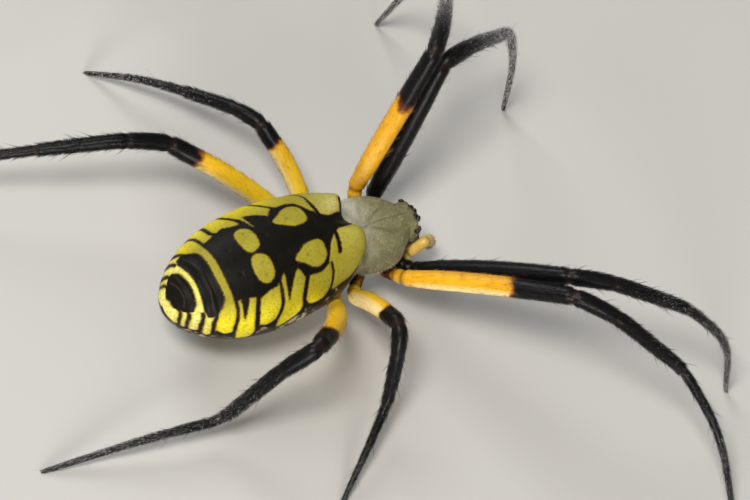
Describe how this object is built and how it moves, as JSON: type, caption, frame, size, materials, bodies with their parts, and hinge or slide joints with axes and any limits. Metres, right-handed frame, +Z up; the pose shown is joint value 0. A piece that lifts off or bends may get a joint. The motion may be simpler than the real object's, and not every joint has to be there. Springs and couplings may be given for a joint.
{
  "type": "garden spider model",
  "caption": "Life-size yellow and black orb-weaver spider with an egg-shaped patterned abdomen and long bent legs, a still model for display, standing on its feet.",
  "frame": {"origin": "on the floor, under the middle of the whole spread of the legs", "axes": "+X the way the spider faces, +Y to its left, +Z up from the surface it stands on"},
  "size_m": [0.0618, 0.055, 0.0186],
  "materials": {
    "carapace": "fine silvery hair over a grey-olive shell, satin",
    "abdomen": "satin skin, yellow with black markings",
    "dark": "satin black shell with short bristles",
    "orange": "satin orange shell with short bristles",
    "eye": "glossy black"
  },
  "bodies": {
    "root": {"abdomen": "abdomen", "carapace": "carapace", "chelicera_left": "dark", "chelicera_right": "dark", "eye_anterior_lateral_left": "eye", "eye_anterior_lateral_right": "eye", "eye_anterior_median_left": "eye", "eye_anterior_median_right": "eye", "eye_posterior_lateral_left": "eye", "eye_posterior_lateral_right": "eye", "eye_posterior_median_left": "eye", "eye_posterior_median_right": "eye", "fang_left": "dark", "fang_right": "dark", "labium": "dark", "leg_L1_coxa": "dark", "leg_L1_femur": "dark", "leg_L1_foot": "dark", "leg_L1_tibia": "dark", "leg_L2_coxa": "orange", "leg_L2_femur": "orange", "leg_L2_foot": "dark", "leg_L2_tibia": "dark", "leg_L3_coxa": "orange", "leg_L3_femur": "orange", "leg_L3_foot": "dark", "leg_L3_tibia": "dark", "leg_L4_coxa": "orange", "leg_L4_femur": "orange", "leg_L4_foot": "dark", "leg_L4_tibia": "dark", "leg_R1_coxa": "dark", "leg_R1_femur": "dark", "leg_R1_foot": "dark", "leg_R1_tibia": "dark", "leg_R2_coxa": "orange", "leg_R2_femur": "orange", "leg_R2_foot": "dark", "leg_R2_tibia": "dark", "leg_R3_coxa": "orange", "leg_R3_femur": "orange", "leg_R3_foot": "dark", "leg_R3_tibia": "dark", "leg_R4_coxa": "orange", "leg_R4_femur": "orange", "leg_R4_foot": "dark", "leg_R4_tibia": "dark", "maxilla_left": "dark", "maxilla_right": "dark", "palp_left": "orange", "palp_right": "orange", "pedicel": "dark", "spinnerets": "dark", "sternum": "dark"}
  },
  "joints": []
}
